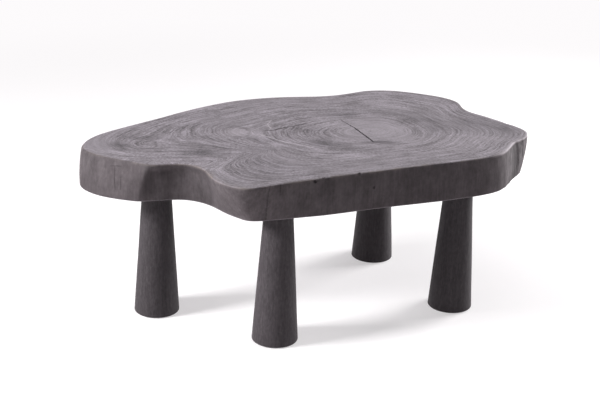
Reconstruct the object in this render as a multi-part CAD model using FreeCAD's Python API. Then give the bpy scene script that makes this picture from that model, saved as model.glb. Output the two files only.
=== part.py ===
import FreeCAD
import Part
import math
import os

# Live edge coffee table: a cross-cut trunk slab on four turned cone legs.
# Millimetres. Origin on the floor under the middle of the slab, +X to the right, +Y to the back, +Z up.

# Slab
TOP_LENGTH = 1035.0
TOP_WIDTH = 770.0
SLAB_THICKNESS = 90.0
SIDE_BELLY = 3.0
TOP_EDGE_RADIUS = 4.0
BOTTOM_EDGE_RADIUS = 6.0

# Trunk outline of the top face, anticlockwise from the left end, drawn at the size above.
# Each point has x, y and how far the lower edge runs in under it (negative where it flares out).
TRUNK_OUTLINE = [
    (-517, -130, -2),
    (-503, -177, -10),
    (-465, -206, -17),
    (-400, -236, -12),
    (-352, -254, 3),
    (-300, -245, 7),
    (-262, -247, 10),
    (-238, -267, 20),
    (-221, -303, 34),
    (-205, -340, 48),
    (-176, -369, 51),
    (-138, -384, 49),
    (-100, -368, 32),
    (-55, -342, 19),
    (0, -312, 9),
    (60, -280, 1),
    (130, -248, 1),
    (225, -202, -5),
    (320, -160, -8),
    (390, -126, -6),
    (432, -92, -5),
    (456, -48, -7),
    (475, -3, -9),
    (500, 26, 0),
    (516, 58, 11),
    (514, 92, 16),
    (480, 137, 16),
    (420, 197, 12),
    (389, 227, 8),
    (376, 262, 6),
    (366, 308, 8),
    (340, 337, 10),
    (280, 366, 10),
    (195, 385, 8),
    (135, 372, 8),
    (60, 325, 8),
    (-50, 296, 8),
    (-160, 261, 8),
    (-240, 209, 8),
    (-340, 110, 8),
    (-440, 5, 6),
    (-500, -70, 2),
]

# Drying check in the top face, from the heart of the trunk outwards
CHECK_LINE = [(69, 115), (101, 57), (143, -45), (166, -40)]
CHECK_WIDTH = 3.0
CHECK_DEPTH = 12.0

# Legs: each has its place in the drawing of the outline
LEG_PLACES = {
    "left": (-348, -139),
    "front": (-68, -268),
    "rear": (168, 228),
    "right": (345, -53),
}
LEG_LENGTH = 310.0
LEG_TOP_RADIUS = 33.0
LEG_FOOT_RADIUS = 53.0
LEG_FOOT_EASE = 3.0

# Felt pads let into the feet, inside a rim of wood
PAD_RIM = 11.0
PAD_THICKNESS = 3.0
PAD_PROUD = 1.0
PAD_EASE = 0.5
PAD_CLEARANCE = 0.3

# Hanger bolts, wood thread down and machine thread up, threads drawn as plain cylinders
BOLT_RADIUS = 5.0
WOOD_END_LENGTH = 60.0
MACHINE_END_LENGTH = 32.0
NECK_DEPTH = 5.0
NECK_LENGTH = 6.0
NECK_RELIEF = 0.8
BOLT_POINT_LENGTH = 9.0
BOLT_POINT_RADIUS = 1.0
BOLT_END_CHAMFER = 1.0
THREAD_CLEARANCE = 0.1
HOLE_END_ROOM = 5.0

# Threaded inserts in the slab's underside, round the bolts
INSERT_LENGTH = 25.0
INSERT_WALL = 3.0
FLANGE_REACH = 4.0
FLANGE_THICKNESS = 2.0
FLANGE_CLEARANCE = 0.25

# Levels and radii worked out from the sizes above
LEG_BOTTOM = PAD_PROUD
SLAB_BOTTOM = LEG_BOTTOM + LEG_LENGTH
SLAB_TOP = SLAB_BOTTOM + SLAB_THICKNESS
BOLT_TOP = SLAB_BOTTOM + MACHINE_END_LENGTH
BOLT_BOTTOM = SLAB_BOTTOM - WOOD_END_LENGTH
PAD_RADIUS = LEG_FOOT_RADIUS - PAD_RIM
THREADED_HOLE_RADIUS = BOLT_RADIUS + THREAD_CLEARANCE
INSERT_RADIUS = THREADED_HOLE_RADIUS + INSERT_WALL
FLANGE_RADIUS = INSERT_RADIUS + FLANGE_REACH

UP = FreeCAD.Vector(0, 0, 1)
LEVEL_TOLERANCE = 1e-3


def plan_scale():
    """Stretch of the drawn outline to the top face's length and width, and the middle of the drawing."""
    xs = [point[0] for point in TRUNK_OUTLINE]
    ys = [point[1] for point in TRUNK_OUTLINE]
    stretch = (TOP_LENGTH / (max(xs) - min(xs)), TOP_WIDTH / (max(ys) - min(ys)))
    middle = ((max(xs) + min(xs)) / 2, (max(ys) + min(ys)) / 2)
    return stretch, middle


def on_plan(x, y):
    """A point of the drawing in the table's own plan."""
    stretch, middle = plan_scale()
    return ((x - middle[0]) * stretch[0], (y - middle[1]) * stretch[1])


def inward_normals(points):
    """Unit direction into the outline at each of its points."""
    normals = []
    for i, (x, y) in enumerate(points):
        before = points[i - 1]
        after = points[(i + 1) % len(points)]
        along_x = after[0] - before[0]
        along_y = after[1] - before[1]
        length = math.hypot(along_x, along_y)
        normals.append((-along_y / length, along_x / length))
    return normals


def outline_wire(points, height, spacing):
    """Closed smooth curve through the points at one height."""
    curve = Part.BSplineCurve()
    vectors = [FreeCAD.Vector(x, y, height) for x, y in points]
    curve.interpolate(Points=vectors, PeriodicFlag=True, Parameters=spacing)
    return Part.Wire([curve.toShape()])


def slab_body():
    """Slab with its live edge: lofted from the lower edge over the belly to the top edge.

    The lower edge runs in as drawn, and by less on a slab smaller than drawn, so that its lobes stay whole.
    """
    top = [on_plan(x, y) for x, y, _ in TRUNK_OUTLINE]
    stretch, _ = plan_scale()
    shrink = min(1.0, *stretch)
    undercuts = [point[2] * shrink for point in TRUNK_OUTLINE]
    normals = inward_normals(top)
    spacing = [0.0]
    for i, (x, y) in enumerate(top):
        after = top[(i + 1) % len(top)]
        spacing.append(spacing[-1] + math.hypot(after[0] - x, after[1] - y))

    def run_in(amounts):
        return [
            (x + nx * amount, y + ny * amount)
            for (x, y), (nx, ny), amount in zip(top, normals, amounts)
        ]

    belly = run_in([undercut / 2 - SIDE_BELLY for undercut in undercuts])
    bottom = run_in(undercuts)
    sections = [
        outline_wire(bottom, SLAB_BOTTOM, spacing),
        outline_wire(belly, SLAB_BOTTOM + SLAB_THICKNESS / 2, spacing),
        outline_wire(top, SLAB_TOP, spacing),
    ]
    slab = Part.makeLoft(sections, True, False)
    slab = rounded_rim(slab, SLAB_TOP, TOP_EDGE_RADIUS)
    return rounded_rim(slab, SLAB_BOTTOM, BOTTOM_EDGE_RADIUS)


def rounded_rim(solid, height, radius):
    """Rounds the level edges of a solid at one height."""
    rim = [
        edge for edge in solid.Edges
        if abs(edge.BoundBox.ZMin - height) < LEVEL_TOLERANCE
        and abs(edge.BoundBox.ZMax - height) < LEVEL_TOLERANCE
    ]
    return solid.makeFillet(radius, rim)


def check_cutter():
    """Narrow wedge along the drying check, open at the top face."""
    line = [on_plan(x, y) for x, y in CHECK_LINE]
    left_side = []
    right_side = []
    for i, (x, y) in enumerate(line[1:-1], start=1):
        before, after = line[i - 1], line[i + 1]
        along = math.hypot(after[0] - before[0], after[1] - before[1])
        nx = -(after[1] - before[1]) / along
        ny = (after[0] - before[0]) / along
        left_side.append((x + nx * CHECK_WIDTH / 2, y + ny * CHECK_WIDTH / 2))
        right_side.append((x - nx * CHECK_WIDTH / 2, y - ny * CHECK_WIDTH / 2))
    corners = [line[0]] + left_side + [line[-1]] + right_side[::-1]
    corners.append(corners[0])
    floor = [FreeCAD.Vector(x, y, SLAB_TOP - CHECK_DEPTH) for x, y in corners]
    face = Part.Face(Part.makePolygon(floor))
    return face.extrude(UP * (2 * CHECK_DEPTH))


def cylinder(place, low, high, radius):
    """Upright cylinder at a leg's place between two heights."""
    return Part.makeCylinder(radius, high - low, FreeCAD.Vector(place[0], place[1], low), UP)


def turned(place, profile):
    """Solid of revolution about a leg's axis from (radius, height) points."""
    points = [FreeCAD.Vector(radius, 0, height) for radius, height in profile]
    points.append(points[0])
    solid = Part.Face(Part.makePolygon(points)).revolve(FreeCAD.Vector(0, 0, 0), UP, 360)
    solid.translate(FreeCAD.Vector(place[0], place[1], 0))
    return solid


def insert_hole(place):
    """Room for an insert, its flush flange and the bolt's end in the slab's underside."""
    depth = max(INSERT_LENGTH, MACHINE_END_LENGTH) + HOLE_END_ROOM
    hole = cylinder(
        place, SLAB_BOTTOM - HOLE_END_ROOM, SLAB_BOTTOM + depth, INSERT_RADIUS + THREAD_CLEARANCE
    )
    seat = cylinder(
        place, SLAB_BOTTOM - HOLE_END_ROOM, SLAB_BOTTOM + FLANGE_THICKNESS, FLANGE_RADIUS + FLANGE_CLEARANCE
    )
    return hole.fuse(seat)


def slab_top(places):
    slab = slab_body().cut(check_cutter())
    for place in places:
        slab = slab.cut(insert_hole(place))
    return slab


def leg(place):
    """Turned cone leg with an eased foot, a recess for its pad and a pilot hole for its bolt."""
    profile = [
        (0, LEG_BOTTOM),
        (LEG_FOOT_RADIUS, LEG_BOTTOM),
        (LEG_TOP_RADIUS, SLAB_BOTTOM),
        (0, SLAB_BOTTOM),
    ]
    cone = rounded_rim(turned(place, profile), LEG_BOTTOM, LEG_FOOT_EASE)
    pilot = cylinder(place, BOLT_BOTTOM - HOLE_END_ROOM, SLAB_BOTTOM + HOLE_END_ROOM, THREADED_HOLE_RADIUS)
    recess = cylinder(place, 0, PAD_THICKNESS, PAD_RADIUS + PAD_CLEARANCE)
    return cone.cut(pilot).cut(recess)


def pad(place):
    """Felt disc glued into a foot's recess."""
    profile = [
        (0, 0),
        (PAD_RADIUS - PAD_EASE, 0),
        (PAD_RADIUS, PAD_EASE),
        (PAD_RADIUS, PAD_THICKNESS),
        (0, PAD_THICKNESS),
    ]
    return turned(place, profile)


def insert(place):
    """Threaded insert with a flange that lies flush with the slab's underside."""
    barrel = cylinder(place, SLAB_BOTTOM, SLAB_BOTTOM + INSERT_LENGTH, INSERT_RADIUS)
    flange = cylinder(place, SLAB_BOTTOM, SLAB_BOTTOM + FLANGE_THICKNESS, FLANGE_RADIUS)
    bore_top = SLAB_BOTTOM + INSERT_LENGTH + HOLE_END_ROOM
    bore = cylinder(place, SLAB_BOTTOM - HOLE_END_ROOM, bore_top, THREADED_HOLE_RADIUS)
    return barrel.fuse(flange).removeSplitter().cut(bore)


def bolt(place):
    """Hanger bolt: pointed wood end, narrow neck in the leg's top, chamfered machine end."""
    neck_top = SLAB_BOTTOM - NECK_DEPTH
    neck_bottom = neck_top - NECK_LENGTH
    neck_radius = BOLT_RADIUS - NECK_RELIEF
    profile = [
        (0, BOLT_BOTTOM),
        (BOLT_POINT_RADIUS, BOLT_BOTTOM),
        (BOLT_RADIUS, BOLT_BOTTOM + BOLT_POINT_LENGTH),
        (BOLT_RADIUS, neck_bottom - NECK_RELIEF),
        (neck_radius, neck_bottom),
        (neck_radius, neck_top),
        (BOLT_RADIUS, neck_top + NECK_RELIEF),
        (BOLT_RADIUS, BOLT_TOP - BOLT_END_CHAMFER),
        (BOLT_RADIUS - BOLT_END_CHAMFER, BOLT_TOP),
        (0, BOLT_TOP),
    ]
    return turned(place, profile)


def main():
    os.makedirs("parts", exist_ok=True)
    places = {name: on_plan(x, y) for name, (x, y) in LEG_PLACES.items()}
    shapes = {"slab_top": slab_top(places.values())}
    for name, place in places.items():
        shapes[name + "_leg"] = leg(place)
        shapes[name + "_pad"] = pad(place)
        shapes[name + "_insert"] = insert(place)
        shapes[name + "_bolt"] = bolt(place)
    box = shapes["slab_top"].optimalBoundingBox(True, False)
    to_middle = FreeCAD.Vector(-(box.XMin + box.XMax) / 2, -(box.YMin + box.YMax) / 2, 0)
    for node, shape in shapes.items():
        shape.translate(to_middle)
        shape.exportStep("parts/" + node + ".step")
        print(node, "solids", len(shape.Solids), "valid", shape.isValid(), "volume", round(shape.Volume))


main()
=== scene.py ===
import math

import bmesh
import bpy
import numpy as np
from mathutils import Matrix, Vector, noise
from mathutils.bvhtree import BVHTree
from mathutils.kdtree import KDTree


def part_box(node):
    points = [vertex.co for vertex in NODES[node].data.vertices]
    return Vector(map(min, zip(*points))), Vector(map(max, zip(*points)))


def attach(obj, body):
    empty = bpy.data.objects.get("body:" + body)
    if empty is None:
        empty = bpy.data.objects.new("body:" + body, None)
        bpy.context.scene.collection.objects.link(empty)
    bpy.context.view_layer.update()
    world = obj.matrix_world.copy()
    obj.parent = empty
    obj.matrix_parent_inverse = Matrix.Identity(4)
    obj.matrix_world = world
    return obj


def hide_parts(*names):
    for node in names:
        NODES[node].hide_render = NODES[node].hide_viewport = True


# Looks of the live edge coffee table: a charcoal trunk slab on four black cone legs. Metres.

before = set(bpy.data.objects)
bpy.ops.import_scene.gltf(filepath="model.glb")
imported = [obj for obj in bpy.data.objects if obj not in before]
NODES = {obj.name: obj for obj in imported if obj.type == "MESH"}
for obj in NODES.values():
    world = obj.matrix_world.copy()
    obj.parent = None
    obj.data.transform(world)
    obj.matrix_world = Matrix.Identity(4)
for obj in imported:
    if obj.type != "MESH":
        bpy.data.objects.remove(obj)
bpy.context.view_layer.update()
LEGS = ("left", "front", "rear", "right")

# Camera, as fitted to the photograph
IMAGE_WIDTH_PX = 600
FOCAL_LENGTH_PX = 1388
SENSOR_WIDTH_MM = 36.0
CAMERA_PLACE = (-0.020, -3.088, 1.419)
CAMERA_PITCH = math.radians(21.0)
CAMERA_ROLL = math.radians(2.15)

# Studio
FLOOR_SIZE = 14.0
FLOOR_DROP = 0.0002
FLOOR_COLOUR = (0.60, 0.588, 0.594, 1)
FLOOR_WHITE = (1.0, 0.98, 0.99, 1)
FLOOR_WHITENESS = 0.45
BACKDROP_WHITENESS = 0.98
BACKDROP_START = 1.0
BACKDROP_FULL = 2.8
FLOOR_BOUNCE_COLOUR = (0.72, 0.69, 0.70, 1)
FLOOR_ROUGHNESS = 0.9
WORLD_COLOUR = (1.0, 0.98, 0.99, 1)
WORLD_FILL = 0.08
LIGHT_TARGET = Vector((0, 0, 0.3))
LEFT_BOX = {"place": (-2.66, -1.05, 1.65), "width": 0.85, "height": 0.7, "watts": 149}
RIGHT_BOX = {"place": (2.6, 1.6, 1.02), "width": 1.6, "height": 1.0, "watts": 155}
OVERHEAD_BOX = {"place": (0.1, -0.6, 3.2), "width": 2.4, "height": 2.0, "watts": 21}

# Heart of the trunk in the plan
HEART = np.array([0.150, 0.040])

# Slab mesh: columns round the edge, rows over the underside, rims, side and top
COLUMNS = 960
UNDERSIDE_LOOPS = 8
LOWER_RIM_ROWS = 5
SIDE_ROWS = 26
UPPER_RIM_ROWS = 7
TOP_LOOPS = 44
SLAB_SHARP_DEGREES = 45
# Finding the solid's side: levels, trials round it, smoothing, margin at the rims and where the rays start
EDGE_LEVELS = 23
EDGE_TRIALS = 2880
EDGE_SMOOTHING = 2.0
LEVEL_MARGIN = 0.0065
FAR = 2.0

# Rims of the live edge
UPPER_RIM = 0.0035
UPPER_RIM_WAVE = 0.06
LOWER_RIM = 0.005
LOWER_RIM_WAVE = 0.08
RIM_VARIATION = 0.45
SOFT_RIM = 0.005
SOFT_RIM_X = (-0.30, -0.42)
# Painted highlight on the top rim at the right end: where it starts and where it is full, in x
HIGHLIGHT_RIM_X = (0.40, 0.46)
# Relief of the side: swells all round, and upright flutes that are deepest at the right end
SWELL = 0.0014
SWELL_SIZE = 0.085
FLUTE = 0.0006
FLUTE_END = 0.006
FLUTED_END = (0.42, 0.51)
FLUTE_RISE = 0.10
COARSE_FLUTE_SIZE = 0.016
FINE_FLUTE_SIZE = 0.007
FLUTE_LUMP_SIZE = 0.018
FLUTE_MIX = (0.45, 0.25, 0.30)
# Relief of the top, which stays even next to the rim
TOP_UNEVENNESS = 0.0003
TOP_WAVE = 0.07
TOP_EVEN_FROM = 0.9
# Hollow under the rim of the bay at the front left: its ends and deepest place in x, its depth and its lean
BAY_LEFT = -0.370
BAY_DEEPEST = -0.338
BAY_RIGHT = -0.172
BAY_DEPTH = 0.012
BAY_LEAN = 0.024
# The same hollow over the slab's height: its share at the lower edge, where it is full and where it ends
BAY_FOOT_SHARE = 0.6
BAY_FULL = (0.4, 0.75)
BAY_END = 0.98

# Growth rings: even near the heart, shaped like the trunk near the rim
INNER_SMOOTHING = 45.0
OUTER_SMOOTHING = 8.0
RING_TRIALS = 960
RING_SHAPING = (0.25, 0.95)
RING_WOBBLE = 0.005
RING_WOBBLE_SIZE = 0.13
FINE_WOBBLE_SIZE = 0.03
FINE_WOBBLE_SHARE = 0.35
HEARTWOOD_FADE = (0.1125, 0.054)
# Fold of the rings towards the bay, between the two lobes at the left: its width to the front and the left
NOTCH_ANGLE = math.radians(-145)
NOTCH_FRONT = math.radians(3.6)
NOTCH_LEFT = math.radians(12.0)
NOTCH_DEPTH = 0.24
NOTCH_AGES = (0.44, 0.70, 0.92, 1.10)
# Bends of the rings: middle, reach and shift of the figure
RING_BENDS = [
    ((-0.23, -0.03), 0.09, (0.0, -0.045)),
    ((-0.35, -0.10), 0.05, (0.0, 0.025)),
]
# Eyes in the figure: middle, reach and height of the swirl in shares of the trunk's radius
LEFT_EYE = (-0.383, -0.121)
MIDDLE_EYE = (-0.174, -0.009)
RING_EYES = [
    (LEFT_EYE, 0.034, -0.08),
    (MIDDLE_EYE, 0.032, -0.06),
]
# Dark outlines of the eyes: middle, and reach in x and y
EYE_OUTLINES = [
    (LEFT_EYE, (0.034, 0.037)),
    (MIDDLE_EYE, (0.033, 0.034)),
]
# Paler and darker patches of the top: middle, reach in x and y, and change of tone
TOP_PATCHES = [
    ((0.152, 0.045), (0.085, 0.060), 0.24),
    (MIDDLE_EYE, (0.026, 0.026), 0.36),
    ((-0.200, -0.245), (0.040, 0.035), 0.20),
    ((-0.475, -0.150), (0.028, 0.050), -0.08),
    ((-0.440, -0.195), (0.050, 0.018), 0.08),
    ((0.320, -0.060), (0.080, 0.045), 0.14),
    ((-0.300, -0.040), (0.120, 0.110), -0.13),
    ((-0.245, -0.163), (0.022, 0.014), -0.40),
    ((-0.120, -0.130), (0.030, 0.012), -0.22),
    ((-0.432, -0.132), (0.014, 0.012), -0.36),
    ((-0.423, -0.166), (0.018, 0.010), -0.26),
    ((-0.400, -0.075), (0.040, 0.012), -0.20),
    ((0.024, -0.056), (0.020, 0.020), -0.42),
    ((0.002, 0.021), (0.026, 0.018), -0.26),
    ((0.044, -0.077), (0.030, 0.012), -0.30),
    ((0.089, -0.100), (0.035, 0.012), -0.24),
    ((0.168, -0.046), (0.026, 0.009), -0.46),
    ((0.077, 0.155), (0.026, 0.016), -0.32),
    ((0.095, 0.194), (0.034, 0.012), -0.18),
    ((0.228, 0.190), (0.050, 0.014), -0.16),
    ((0.262, 0.140), (0.034, 0.020), -0.32),
    ((0.294, 0.066), (0.018, 0.034), -0.34),
    ((0.248, 0.066), (0.008, 0.014), -0.22),
    ((0.356, 0.071), (0.010, 0.026), -0.16),
    ((0.464, 0.084), (0.010, 0.024), -0.28),
    ((0.392, 0.136), (0.036, 0.024), -0.20),
    ((0.424, 0.110), (0.060, 0.030), -0.10),
    ((0.395, 0.014), (0.070, 0.030), 0.17),
    ((-0.120, -0.250), (0.090, 0.070), -0.23),
    ((-0.020, -0.130), (0.090, 0.050), 0.12),
    ((-0.095, -0.060), (0.028, 0.020), -0.16),
    ((-0.025, -0.108), (0.040, 0.016), -0.16),
    ((0.050, 0.270), (0.300, 0.080), 0.07),
]
# Darker and paler stain on the side, in the same way, with painted shade in the bay at the front left
SIDE_STAINS_AND_SHADE = [
    # Painted shade under the left lobe in the bay, partly stain
    ((-0.288, -0.250), (0.050, 0.060), -0.16),
    ((-0.492, -0.198), (0.022, 0.032), -0.28),
    # More painted shade in the bay, partly stain
    ((-0.228, -0.270), (0.028, 0.030), -0.24),
    ((-0.110, -0.380), (0.050, 0.040), 0.14),
    ((0.480, -0.020), (0.012, 0.030), -0.32),
]
# Remains of bark round the back, in the same way
BARK_REMAINS = [
    ((0.410, 0.150), (0.050, 0.060), 0.45),
    ((0.180, 0.370), (0.070, 0.050), 0.35),
    ((-0.160, 0.300), (0.080, 0.070), 0.40),
    ((-0.430, 0.080), (0.050, 0.070), 0.30),
]
# Places where the figure is stronger or calmer, in the same way
FIGURE_CONTRAST = [
    ((0.390, 0.080), (0.110, 0.100), -0.35),
    ((-0.370, -0.100), (0.090, 0.080), 0.4),
    ((-0.482, -0.125), (0.040, 0.070), -0.95),
    (MIDDLE_EYE, (0.026, 0.026), -0.8),
]

# Checks and scratches in the top: plan points with the width there, depth, seed and reach of the painted
# shade
TOP_CHECK = [
    (0.072, 0.114, 0.0034),
    (0.104, 0.058, 0.0066),
    (0.127, 0.003, 0.0072),
    (0.146, -0.043, 0.0066),
    (0.164, -0.041, 0.0044),
    (0.188, -0.036, 0.0012),
]
TOP_CHECK_DEPTH = 0.012
TOP_CHECK_SEED = 1.0
TOP_CHECK_SHADE = 0.003
HAIR_CHECKS = [
    [(-0.114, 0.006, 0.0030), (-0.088, 0.016, 0.0080), (-0.062, 0.040, 0.0060), (-0.012, 0.073, 0.0012)],
    [(-0.122, -0.159, 0.0005), (-0.096, -0.190, 0.0014), (-0.060, -0.215, 0.0005)],
    [(-0.442, -0.126, 0.0006), (-0.425, -0.130, 0.0026), (-0.405, -0.134, 0.0006)],
    [(0.118, -0.049, 0.0012), (0.134, -0.046, 0.0050), (0.146, -0.045, 0.0020)],
]
HAIR_DEPTH = 0.004
HAIR_SEED = 20.0
# Painted shade in the hair checks: its reach and strength
HAIR_SHADE = 0.004
HAIR_DARKNESS = 0.18
SCRATCHES = [
    [(-0.118, -0.021, 0.0020), (-0.059, -0.068, 0.0070), (0.004, -0.099, 0.0016)],
    [(-0.096, 0.092, 0.0014), (-0.104, 0.060, 0.0032), (-0.096, 0.028, 0.0014)],
]
SCRATCH_DEPTH = 0.0006
SCRATCH_SEED = 80.0
SCRATCH_REACH = 0.0020
# Cracks in the front of the side: x, height and width at each point
SIDE_CRACKS = [
    [(-0.083, 0.400, 0.0036), (-0.086, 0.384, 0.0018), (-0.089, 0.350, 0.0024), (-0.091, 0.316, 0.0012)],
    [(-0.062, 0.404, 0.0024), (-0.061, 0.376, 0.0008)],
    [(-0.437, 0.3835, 0.0006), (-0.426, 0.3855, 0.0018), (-0.414, 0.3865, 0.0006)],
    [(-0.428, 0.3840, 0.0012), (-0.429, 0.3600, 0.0008), (-0.427, 0.3350, 0.0012)],
    [(-0.414, 0.3640, 0.0006), (-0.414, 0.3360, 0.0012)],
]
SIDE_CRACK_DEPTH = 0.0025
SIDE_CRACK_SEED = 40.0
# Painted shade in the side cracks: its reach and strength
SIDE_CRACK_SHADE = 0.003
SIDE_CRACK_DARKNESS = 0.17
# Chips along the front rim, and a small hole in the side: x, height and radii along, in and up
RIM_CHIPS = [
    (0.011, 0.3955, (0.0050, 0.0052, 0.0042)),
    (0.030, 0.4006, (0.0080, 0.0040, 0.0024)),
    (0.049, 0.4006, (0.0100, 0.0036, 0.0020)),
    (0.108, 0.4006, (0.0050, 0.0060, 0.0036)),
    (0.260, 0.4012, (0.0060, 0.0024, 0.0012)),
    (0.141, 0.3640, (0.0024, 0.0044, 0.0034)),
]
RIM_CHIP_SEED = 60.0
CHIP_SUBDIVISIONS = 3
CHIP_ROUGHNESS = 0.35
CHIP_ROUGH_SIZE = 0.8
# How a drawn crack wanders, and the share of its depth that is left where it is narrow
CRACK_STEP = 0.004
CRACK_WANDER = 0.0007
CRACK_WANDER_SIZE = 0.011
CRACK_WIDTH_CHANGE = 0.35
CRACK_WIDTH_SIZE = 0.009
CRACK_END_SHARE = 0.35
CUT_LIFT = 0.002

# Where the slab's finishes fade out and where they are full: down from the top, up from the underside, and
# for the rim down and inwards
TOP_FADE = (0.0022, 0.0002)
UNDERSIDE_FADE = (0.004, 0.0)
RIM_FADE_DOWN = (0.006, 0.0005)
RIM_FADE_IN = (0.010, 0.002)

# Insert seats under the slab, and legs
INSERT_SEAT_RADIUS = 0.0123
INSERT_SEAT_DEPTH = 0.002
INSERT_HOLE_RADIUS = 0.0082
INSERT_HOLE_DEPTH = 0.037
SEAT_COLUMNS = 48
LEG_COLUMNS = 144
LEG_ROWS = 64
LEG_TOP_RADIUS = 0.033
FOOT_EASE = 0.0038
FOOT_EASE_ROWS = 6
LEG_SHOULDER = 0.0006
PAD_RECESS = 0.002
PAD_CLEARANCE = 0.0003
PILOT_RADIUS = 0.0051
PILOT_ROOM = 0.005
TURNED_SHARP_DEGREES = 40
LEG_SEED_STEP = 10.0
LEG_UNEVENNESS = 0.0006
LEG_UNEVEN_SIZE = (0.05, 0.05, 0.09)
LEG_GROOVE = 0.0003
LEG_GROOVE_SIZE = (0.005, 0.005, 0.16)
# The legs' relief starts outside these radii and above these heights
LEG_RELIEF_RADII = (LEG_TOP_RADIUS - 0.004, LEG_TOP_RADIUS - 0.001)
LEG_RELIEF_RISE = (0.001, 0.004)
# Painted light and shade on the legs: each leg's colour is scaled up on the front leg, where more light
# falls, and down on the rear and right legs, in the slab's shade
LEG_PAINTED_LIGHT = {"left": 0.98, "front": 1.22, "rear": 0.95, "right": 0.95}
# Felt pads: rows over the underside and the soft lower edge, and how uneven the cut and the underside are
PAD_SEED = 100.0
PAD_COLUMNS = 128
PAD_FLAT_ROWS = 8
PAD_EDGE_ROWS = 5
PAD_EDGE = 0.0009
PAD_UNEVENNESS = 0.0003
PAD_UNEVEN_SIZE = 0.004
PAD_DIMPLE = 0.0002
PAD_DIMPLE_SIZE = 0.012
PAD_DIMPLED = (0.002, 0.008)

# Finish of the top: streaks along the rings, with how fine they are across and along, detail and seed
RING_STREAKS = {
    "clouds": (13, 5, 2, 0.0),
    "broad": (28, 6, 3, 7.0),
    "bands": (75, 8, 3, 17.0),
    "fine": (230, 15, 3, 53.0),
    "seams": (22, 5, 3, 91.0),
    "checks": (50, 9, 3, 131.0),
}
FIGURE_WEIGHTS = {
    "clouds": 0.10,
    "broad": 0.12,
    "bands": 0.38,
    "fine": 0.33,
    "smudges": 0.12,
    "pores": 0.32,
}
FIGURE_STRENGTH = 1.25
HEARTWOOD_CALM = 0.50
RING_WANDER = 0.025
STREAK_ROUGHNESS = 0.6
EYE_DRIFT = 0.9
SEAM_DARKNESS = 0.50
# Colours of the end grain, paler than the side's: partly the wood, partly painted light from above and
# painted sheen
TOP_COLOURS_WITH_LIGHT = [
    (0.38, (0.100, 0.089, 0.097)),
    (0.46, (0.183, 0.165, 0.180)),
    (0.54, (0.260, 0.235, 0.260)),
    (0.63, (0.352, 0.318, 0.357)),
]
SEAM_COLOUR = (0.075, 0.066, 0.070, 1)

# Finish of the side, of its worn rim, of bare places and the painted highlight at the right end, and painted
# shade in cracks
SIDE_COLOURS = [
    (0.36, (0.062, 0.053, 0.057)),
    (0.50, (0.096, 0.083, 0.089)),
    (0.64, (0.136, 0.120, 0.127)),
]
WORN_COLOUR = (0.205, 0.172, 0.160, 1)
# Pale scratches, and the painted highlight on the rim at the right end
BARE_AND_HIGHLIGHT_COLOUR = (0.46, 0.420, 0.455, 1)
# Painted shade inside the checks and cracks
CRACK_SHADE_COLOUR = (0.022, 0.019, 0.020, 1)
SLAB_GLOSS = 0.14
SLAB_BUMP = {"Strength": 0.45, "Distance": 0.0009}

# Finish of the legs, pads, inserts and bolts
LEG_COLOURS = [
    (0.36, (0.0280, 0.0236, 0.0264)),
    (0.50, (0.0412, 0.0351, 0.0390)),
    (0.64, (0.0580, 0.0500, 0.0550)),
]
LEG_GLOSS = 0.22
LEG_BUMP = {"Strength": 0.5, "Distance": 0.0006}
FELT_COLOURS = [(0.35, (0.020, 0.019, 0.019)), (0.65, (0.075, 0.071, 0.070))]
FELT_ROUGHNESS = 0.95
FELT_SHEEN = 0.3
FELT_BUMP = {"Strength": 0.7, "Distance": 0.0008}
METAL_BUMP = {"Strength": 0.3, "Distance": 0.0002}
BRASS = {"dark": (0.38, 0.26, 0.10), "light": (0.62, 0.46, 0.20), "polished": 0.28, "tarnished": 0.45}
ZINC = {"dark": (0.42, 0.43, 0.45), "light": (0.66, 0.67, 0.69), "polished": 0.25, "tarnished": 0.42}


# Small tools


def perlin(points, scale, seed=0.0):
    """Smooth noise from -1 to 1 at each point, with features about scale wide."""
    places = np.asarray(points) / np.asarray(scale) + seed
    return np.array([noise.noise(place) for place in places.tolist()])


def noise01(points, scale, seed=0.0):
    """The same noise from 0 to 1."""
    return 0.5 + 0.5 * perlin(points, scale, seed)


def smoothstep(low, high, value):
    """Smooth rise from 0 at low to 1 at high."""
    share = np.clip((value - low) / (high - low), 0, 1)
    return share * share * (3 - 2 * share)


def unit(vectors):
    return vectors / np.linalg.norm(vectors, axis=-1, keepdims=True)


def smooth_round(values, sigma):
    """Evens out values that run round the closed edge, along the first axis."""
    reach = int(3 * sigma)
    steps = np.arange(-reach, reach + 1)
    weights = np.exp(-0.5 * (steps / sigma) ** 2)
    weights /= weights.sum()
    return sum(weight * np.roll(values, step, axis=0) for weight, step in zip(weights, steps))


def vertex_points(mesh):
    points = np.empty(len(mesh.vertices) * 3, np.float32)
    mesh.vertices.foreach_get("co", points)
    return points.reshape(-1, 3).astype(float)


def move_points(mesh, points):
    mesh.vertices.foreach_set("co", points.astype(np.float32).ravel())
    mesh.update()


def about_axis(points, axis):
    """Distance of each point from an upright axis, and the way out from it."""
    spoke = points[:, :2] - axis
    radius = np.linalg.norm(spoke, axis=1)
    return radius, unit(np.where(radius[:, None] > 0, spoke, 1))


def store(mesh, name, values):
    """Keeps a value at each point of a mesh, for its material to read."""
    layer = mesh.attributes.new(name, "FLOAT", "POINT")
    layer.data.foreach_set("value", values.astype(np.float32))


def upright_axis(node):
    """Plan point of the axis of a turned node."""
    low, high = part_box(node)
    return np.array([(low.x + high.x) / 2, (low.y + high.y) / 2])


def new_piece(name, points, faces):
    """Mesh object with its faces turned outwards."""
    mesh = bpy.data.meshes.new(name)
    mesh.from_pydata([tuple(p) for p in points], [], faces)
    shell = bmesh.new()
    shell.from_mesh(mesh)
    bmesh.ops.recalc_face_normals(shell, faces=shell.faces)
    shell.to_mesh(mesh)
    shell.free()
    piece = bpy.data.objects.new(name, mesh)
    bpy.context.scene.collection.objects.link(piece)
    return piece


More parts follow.
